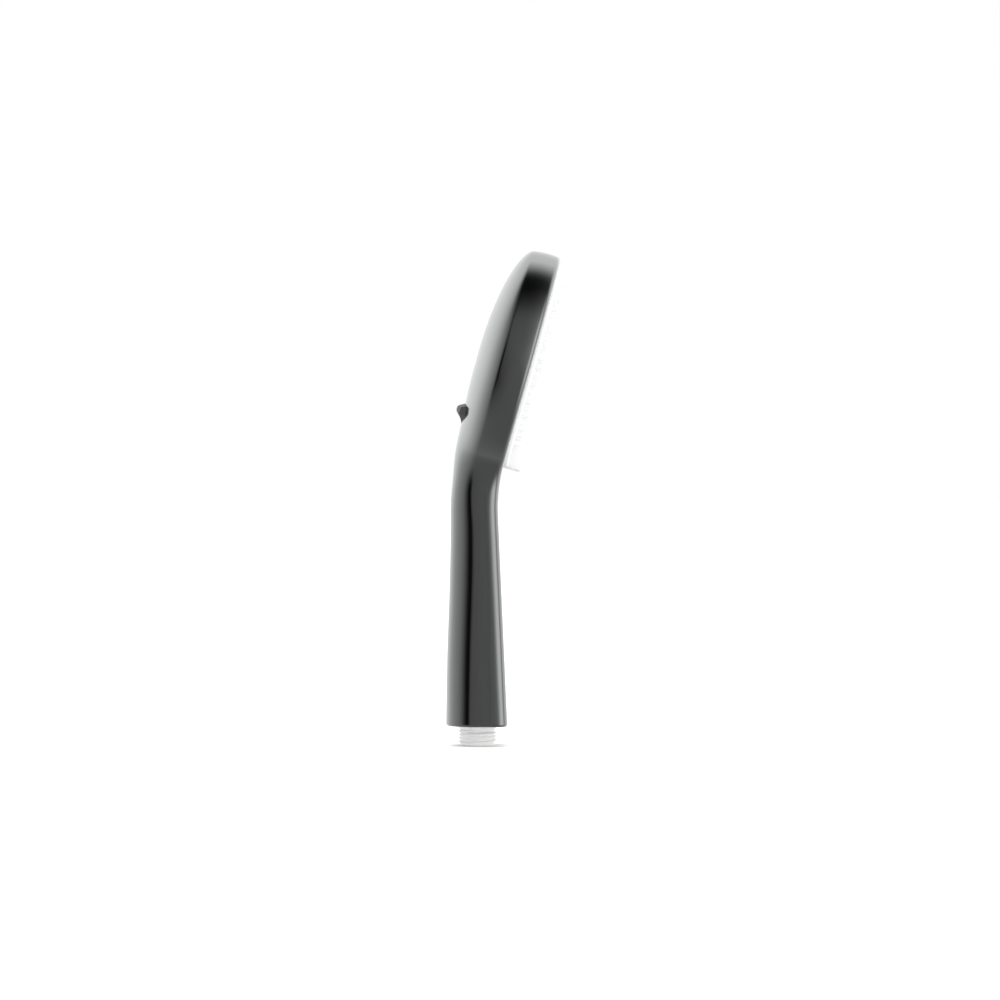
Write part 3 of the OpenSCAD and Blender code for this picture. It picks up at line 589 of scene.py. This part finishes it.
prof = [(5.6, 5), (7.45, 5), (7.6, 4.85), (7.6, 0.15), (7.75, 0.0), (8.65, 0.0), (8.85, 0.06), (9.2, 0.42), (ROOT_R, 0.6)]
nz = 136
prof += [(ROOT_R, 0.95 + (9.1 - 0.95) * i / nz) for i in range(nz + 1)]
prof += [(ROOT_R, 9.2), (10.15, 9.5), (10.3, 9.65), (10.3, 15.3), (13, 15.3), (13, 17.8), (9, 17.8), (9, 21.4), (8, 21.4), (8, 23), (9, 23),
         (9, 27), (8.6, 27.4), (6.7, 27.4), (6.7, 6), (5.6, 6)]
nipple = lathe("inlet_nipple_skin", prof, 224, row, (0.0, 0.0), thread_radius)
shade(nipple, 40)

# ---------------------------------------------------------------- materials
def new_mat(name):
    m = bpy.data.materials.new(name)
    m.use_nodes = True
    nt = m.node_tree
    b = nt.nodes["Principled BSDF"]
    return m, nt, b


def node(nt, kind, **kw):
    n = nt.nodes.new(kind)
    for k, v in kw.items():
        if k in n.inputs.keys():
            n.inputs[k].default_value = v
        else:
            setattr(n, k, v)
    return n


def scaled(nt, scale, space="Object"):
    tc = node(nt, "ShaderNodeTexCoord")
    mp = node(nt, "ShaderNodeMapping")
    mp.inputs["Scale"].default_value = scale
    nt.links.new(tc.outputs[space], mp.inputs["Vector"])
    return mp.outputs["Vector"]


def noise(nt, vec, scale=1.0, detail=3.0, rough=0.5):
    n = node(nt, "ShaderNodeTexNoise")
    n.inputs["Scale"].default_value = scale
    n.inputs["Detail"].default_value = detail
    n.inputs["Roughness"].default_value = rough
    nt.links.new(vec, n.inputs["Vector"])
    return n.outputs["Fac"]


def ranged(nt, val, lo, hi, a=0.3, b=0.7):
    m = node(nt, "ShaderNodeMapRange")
    m.inputs["From Min"].default_value = a
    m.inputs["From Max"].default_value = b
    m.inputs["To Min"].default_value = lo
    m.inputs["To Max"].default_value = hi
    nt.links.new(val, m.inputs["Value"])
    return m.outputs["Result"]


def mixed(nt, fac, c1, c2):
    m = node(nt, "ShaderNodeMix")
    m.data_type = "RGBA"
    m.inputs[6].default_value = (*c1, 1)
    m.inputs[7].default_value = (*c2, 1)
    nt.links.new(fac, m.inputs[0])
    return m.outputs[2]


def bump(nt, b, height, strength, distance):
    n = node(nt, "ShaderNodeBump")
    n.inputs["Strength"].default_value = strength
    n.inputs["Distance"].default_value = distance
    nt.links.new(height, n.inputs["Height"])
    nt.links.new(n.outputs["Normal"], b.inputs["Normal"])
    return n


def graphite():
    m, nt, b = new_mat("graphite_brushed")
    b.inputs["Metallic"].default_value = 1.0
    b.inputs["Specular Tint"].default_value = (0.985, 1.0, 0.995, 1)
    streak = noise(nt, scaled(nt, (2600, 2600, 34)), 1.0, 4, 0.6)
    broad = noise(nt, scaled(nt, (26, 26, 9)), 1.0, 3, 0.5)
    fac = ranged(nt, streak, 0, 1)
    nt.links.new(mixed(nt, fac, (0.186, 0.190, 0.188), (0.206, 0.211, 0.209)), b.inputs["Base Color"])
    add = node(nt, "ShaderNodeMath", operation="MULTIPLY_ADD")
    nt.links.new(ranged(nt, streak, -0.018, 0.018), add.inputs[0])
    add.inputs[1].default_value = 1.0
    nt.links.new(ranged(nt, broad, 0.13, 0.155), add.inputs[2])
    nt.links.new(add.outputs[0], b.inputs["Roughness"])
    bump(nt, b, streak, 0.05, 0.00004)
    return m


def plastic(name, c1, c2, rough, spot_scale, bump_scale, bump_d, strength=0.3, coat=0.0, sub=0.0):
    """Moulded plastic: slight mottling, a fine spark-eroded grain and uneven gloss."""
    m, nt, b = new_mat(name)
    spots = noise(nt, scaled(nt, (spot_scale,) * 3), 1.0, 4, 0.55)
    nt.links.new(mixed(nt, ranged(nt, spots, 0, 1), c1, c2), b.inputs["Base Color"])
    grain = noise(nt, scaled(nt, (bump_scale,) * 3), 1.0, 3, 0.6)
    rv = node(nt, "ShaderNodeMath", operation="MULTIPLY_ADD")
    nt.links.new(ranged(nt, grain, -0.04, 0.04), rv.inputs[0])
    rv.inputs[1].default_value = 1.0
    nt.links.new(ranged(nt, spots, rough - 0.03, rough + 0.05), rv.inputs[2])
    nt.links.new(rv.outputs[0], b.inputs["Roughness"])
    bump(nt, b, grain, strength, bump_d)
    b.inputs["Coat Weight"].default_value = coat
    b.inputs["Coat Roughness"].default_value = 0.15
    if sub:
        b.inputs["Subsurface Weight"].default_value = sub
        b.inputs["Subsurface Radius"].default_value = (1.0, 0.9, 0.85)
        b.inputs["Subsurface Scale"].default_value = 0.0015
    return m


def steel():
    m, nt, b = new_mat("steel_drawn")
    b.inputs["Metallic"].default_value = 1.0
    st = noise(nt, scaled(nt, (2200, 2200, 200)), 1.0, 3, 0.6)
    nt.links.new(mixed(nt, ranged(nt, st, 0, 1), (0.56, 0.56, 0.55), (0.66, 0.66, 0.65)), b.inputs["Base Color"])
    nt.links.new(ranged(nt, st, 0.22, 0.36), b.inputs["Roughness"])
    bump(nt, b, st, 0.1, 0.00003)
    return m


MATS = {
    "graphite_shell": graphite(),
    "white_plate": plastic("white_plate", (0.76, 0.762, 0.755), (0.79, 0.792, 0.785), 0.27, 60, 2600, 0.00002, 0.25, 0.0, 0.0),
    "white_silicone": plastic("white_silicone", (0.76, 0.77, 0.772), (0.81, 0.82, 0.82), 0.46, 180, 3800, 0.00002, 0.35, 0.0, 0.0),
    "white_acetal": plastic("white_acetal", (0.82, 0.82, 0.8), (0.87, 0.87, 0.855), 0.4, 80, 2400, 0.00002),
    "white_nipple": plastic("white_nipple", (0.84, 0.842, 0.835), (0.88, 0.882, 0.875), 0.36, 140, 3000, 0.00002, 0.3),
    "natural_acetal": plastic("natural_acetal", (0.74, 0.735, 0.69), (0.8, 0.795, 0.75), 0.42, 90, 2400, 0.00002),
    "dark_tab": plastic("dark_tab", (0.05, 0.052, 0.052), (0.062, 0.064, 0.063), 0.6, 220, 5200, 0.00005, 0.5),
    "black_rubber": plastic("black_rubber", (0.018, 0.018, 0.019), (0.03, 0.03, 0.031), 0.6, 200, 3200, 0.00003, 0.4),
    "steel": steel(),
}
MATS["graphite_shell"].diffuse_color = (0.2, 0.2, 0.2, 1)


def dress(ob, slot):
    ob.data.materials.clear()
    ob.data.materials.append(MATS[slot])


for ob, slot, body, cad in (
    (shell, "graphite_shell", "housing", "body_shell"),
    (plate, "white_plate", "housing", "spray_plate"),
    (studs, "white_silicone", "housing", "nozzle_mat"),
    (tab, "dark_tab", "tab", "selector_tab"),
    (nipple, "white_nipple", "housing", "inlet_nipple"),
    (check_coil, "steel", "poppet", "check_spring"),
):
    dress(ob, slot)
    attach(ob, body)
    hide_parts(cad)
for ob in (shell, plate, studs, nipple, check_coil):
    ob.visible_glossy = False
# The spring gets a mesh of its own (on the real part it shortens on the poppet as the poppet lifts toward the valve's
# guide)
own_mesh(check_coil)

slot_of = {s["node"]: s["material_slot"] for s in frame["record"]["subparts"]}
for name, ob in NODES.items():
    mat = MATS[slot_of[name]]
    ob.visible_glossy = False
    for s in ob.material_slots:
        s.material = mat
    if not ob.material_slots:
        ob.data.materials.append(mat)

# ---------------------------------------------------------------- floor, light, camera
me = bpy.data.meshes.new("floor")
me.from_pydata([(-400, -400, 0), (400, -400, 0), (400, 400, 0), (-400, 400, 0)], [], [(0, 1, 2, 3)])
floor = bpy.data.objects.new("floor", me)
bpy.context.scene.collection.objects.link(floor)
fm, fnt, fb = new_mat("floor_pale")
fb.inputs["Base Color"].default_value = (0.9, 0.9, 0.9, 1)
fb.inputs["Roughness"].default_value = 0.9
me.materials.append(fm)
floor.visible_glossy = False

world = bpy.data.worlds.new("studio")
bpy.context.scene.world = world
world.use_nodes = True
wn = world.node_tree
wn.nodes.clear()


def ramp(nt, val, stops):
    """A smooth curve of one value, from points (x in 0..1, y)."""
    n = node(nt, "ShaderNodeValToRGB")
    cr = n.color_ramp
    cr.interpolation = "LINEAR"
    while len(cr.elements) > 1:
        cr.elements.remove(cr.elements[-1])
    for i, (p, v) in enumerate(stops):
        e = cr.elements[0] if i == 0 else cr.elements.new(p)
        e.position = p
        e.color = (v, v, v, 1)
    nt.links.new(val, n.inputs["Fac"])
    return n.outputs["Color"]


def math_node(nt, op, a, b=None, c=None):
    n = node(nt, "ShaderNodeMath", operation=op)
    for i, v in enumerate((a, b, c)):
        if v is None:
            continue
        if isinstance(v, (int, float)):
            n.inputs[i].default_value = v
        else:
            nt.links.new(v, n.inputs[i])
    return n.outputs[0]


tc = node(wn, "ShaderNodeTexCoord")
sep = node(wn, "ShaderNodeSeparateXYZ")
wn.links.new(tc.outputs["Generated"], sep.inputs[0])
X, Y, Z = sep.outputs["X"], sep.outputs["Y"], sep.outputs["Z"]
# The studio is laid out round the X axis: a white wall toward +X, and from there a curve of brightness
# down to the dark side toward -X, one for each of four ways round it
chi = math_node(wn, "MULTIPLY", math_node(wn, "ARCCOSINE", X), 1 / math.pi)
y2, z2 = [math_node(wn, "POWER", math_node(wn, "ABSOLUTE", v), 3.0) for v in (Y, Z)]
both = math_node(wn, "ADD", math_node(wn, "ADD", y2, z2), 1e-6)
SIDES = {
    "+Y": [(0, 0.98), (16, 1.14), (24, 1.3), (34, 1.46), (44, 1.46), (60, 1.18), (76, 0.92), (90, 0.74), (100, 0.6), (110, 0.41), (120, 0.2), (130, 0.045),
           (136, 0.015), (148, 0.014), (153, 0.12), (158, 0.2), (168, 0.28), (180, 0.36)],
    "+Z": [(0, 0.98), (30, 1.3), (52, 1.85), (62, 1.3), (70, 0.62), (77, 0.12), (84, 0.02), (100, 0.014), (110, 0.05), (120, 0.12), (128, 0.22),
           (136, 0.29), (150, 0.32), (180, 0.36)],
    "-Y": [(0, 1.2), (30, 1.6), (60, 1.8), (78, 1.7), (86, 0.9), (96, 0.8), (104, 1.7), (118, 2.1), (135, 1.9), (150, 1.15), (162, 0.72), (172, 0.46), (180, 0.36)],
    "-Z": [(0, 0.98), (20, 0.82), (50, 0.46), (90, 0.32), (140, 0.33), (180, 0.35)],
}
level = None
for way, stops in SIDES.items():
    comp, sq = (Y, y2) if way[1] == "Y" else (Z, z2)
    on = math_node(wn, "GREATER_THAN" if way[0] == "+" else "LESS_THAN", comp, 0.0)
    share = math_node(wn, "MULTIPLY", on, math_node(wn, "DIVIDE", sq, both))
    part = math_node(wn, "MULTIPLY", ramp(wn, chi, [(a / 180, v / 2.5) for a, v in stops]), share)
    level = part if level is None else math_node(wn, "ADD", level, part)
level = math_node(wn, "MULTIPLY", level, 2.5)
path = node(wn, "ShaderNodeLightPath")
mixn = node(wn, "ShaderNodeMix")
mixn.data_type = "FLOAT"
wn.links.new(path.outputs["Is Camera Ray"], mixn.inputs[0])
# Matte surfaces get an even light from all round
even = node(wn, "ShaderNodeMix")
even.data_type = "FLOAT"
wn.links.new(path.outputs["Is Diffuse Ray"], even.inputs[0])
wn.links.new(level, even.inputs[2])
even.inputs[3].default_value = 0.9
wn.links.new(even.outputs[0], mixn.inputs[2])
mixn.inputs[3].default_value = 1.0
bg = node(wn, "ShaderNodeBackground")
wn.links.new(mixn.outputs[0], bg.inputs["Strength"])
bg.inputs["Color"].default_value = (1, 1, 1, 1)
wo = node(wn, "ShaderNodeOutputWorld")
wn.links.new(bg.outputs[0], wo.inputs["Surface"])


def area(name, loc, target, size, power, glossy=False):
    ld = bpy.data.lights.new(name, "AREA")
    ld.shape, ld.size, ld.size_y, ld.energy = "RECTANGLE", size[0], size[1], power
    ob = bpy.data.objects.new(name, ld)
    ob.location = loc
    ob.rotation_euler = (Vector(target) - Vector(loc)).to_track_quat("-Z", "Y").to_euler()
    ob.visible_glossy = glossy
    ob.visible_camera = False
    bpy.context.scene.collection.objects.link(ob)
    return ob


sun = bpy.data.lights.new("overhead", "SUN")
sun.energy, sun.angle = 2.6, math.radians(70)
sun_ob = bpy.data.objects.new("overhead", sun)
sun_ob.visible_glossy = False
bpy.context.scene.collection.objects.link(sun_ob)
area("side_soft", (-1.6, -1.5, 0.9), (0, 0, 0.12), (1.4, 1.4), 8)

cam_data = bpy.data.cameras.new("camera")
cam_data.sensor_width = 36
cam_data.lens = 166.67
cam_data.clip_start, cam_data.clip_end = 0.05, 600
cam = bpy.data.objects.new("camera", cam_data)
cam.location = (-2.5, -0.01215, 0.1326)
cam.rotation_euler = (math.pi / 2, 0, -math.pi / 2)
bpy.context.scene.collection.objects.link(cam)
bpy.context.scene.camera = cam
bpy.context.scene.view_settings.view_transform = "Standard"
bpy.context.scene.view_settings.look = "None"
bpy.context.scene.view_settings.exposure = 0.0
bpy.context.scene.view_settings.gamma = 1.0
